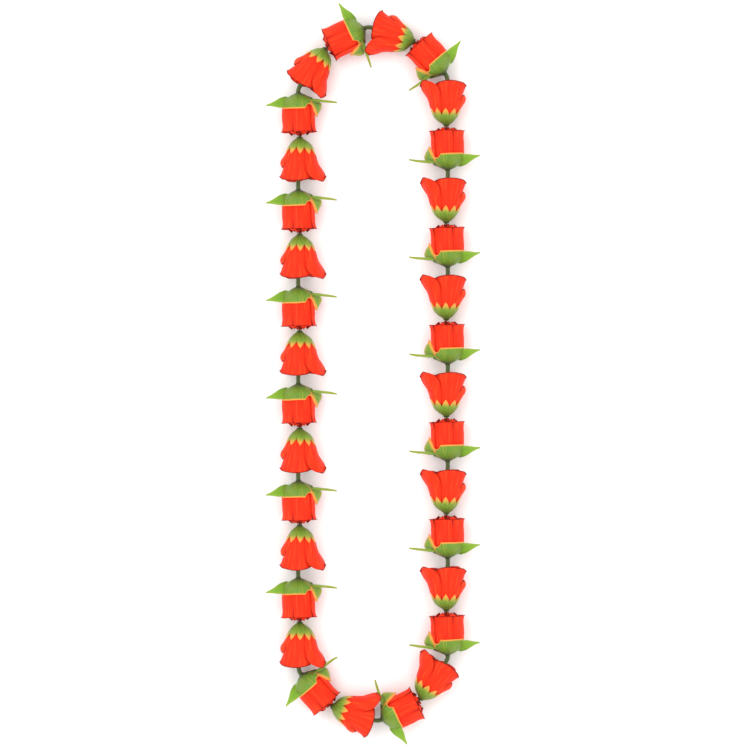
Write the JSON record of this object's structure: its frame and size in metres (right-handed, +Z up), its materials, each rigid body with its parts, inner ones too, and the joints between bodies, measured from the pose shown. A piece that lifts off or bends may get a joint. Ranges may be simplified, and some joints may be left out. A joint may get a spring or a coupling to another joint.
{
  "type": "flower lei",
  "caption": "Neck garland of rosebuds and open roses threaded nose to tail on a knotted string, laid out flat as a long loop.",
  "frame": {"origin": "middle of the laid-out loop, on the surface it rests on", "axes": "+Y along the loop's long way, +X across it, +Z up out of the plane it lies in"},
  "size_m": [0.1406, 0.4836, 0.0259],
  "materials": {
    "petals": "red rose petals with a soft satin sheen and darker crimson rims",
    "greens": "matt leaf green, yellow to orange at the sepals' tips",
    "string": "red-brown twisted string"
  },
  "bodies": {
    "root": {"bud_petals_01": "petals", "bud_petals_02": "petals", "bud_petals_03": "petals", "bud_petals_04": "petals", "bud_petals_05": "petals", "bud_petals_06": "petals", "bud_petals_07": "petals", "bud_petals_08": "petals", "bud_petals_09": "petals", "bud_petals_10": "petals", "bud_petals_11": "petals", "bud_petals_12": "petals", "bud_petals_13": "petals", "bud_petals_14": "petals", "bud_petals_15": "petals", "bud_petals_16": "petals", "rose_petals_01": "petals", "rose_petals_02": "petals", "rose_petals_03": "petals", "rose_petals_04": "petals", "rose_petals_05": "petals", "rose_petals_06": "petals", "rose_petals_07": "petals", "rose_petals_08": "petals", "rose_petals_09": "petals", "rose_petals_10": "petals", "rose_petals_11": "petals", "rose_petals_12": "petals", "rose_petals_13": "petals", "rose_petals_14": "petals", "rose_petals_15": "petals", "rose_petals_16": "petals", "stem_and_calyxes_01": "greens", "stem_and_calyxes_02": "greens", "stem_and_calyxes_03": "greens", "stem_and_calyxes_04": "greens", "stem_and_calyxes_05": "greens", "stem_and_calyxes_06": "greens", "stem_and_calyxes_07": "greens", "stem_and_calyxes_08": "greens", "stem_and_calyxes_09": "greens", "stem_and_calyxes_10": "greens", "stem_and_calyxes_11": "greens", "stem_and_calyxes_12": "greens", "stem_and_calyxes_13": "greens", "stem_and_calyxes_14": "greens", "stem_and_calyxes_15": "greens", "stem_and_calyxes_16": "greens", "string": "string"}
  },
  "joints": []
}
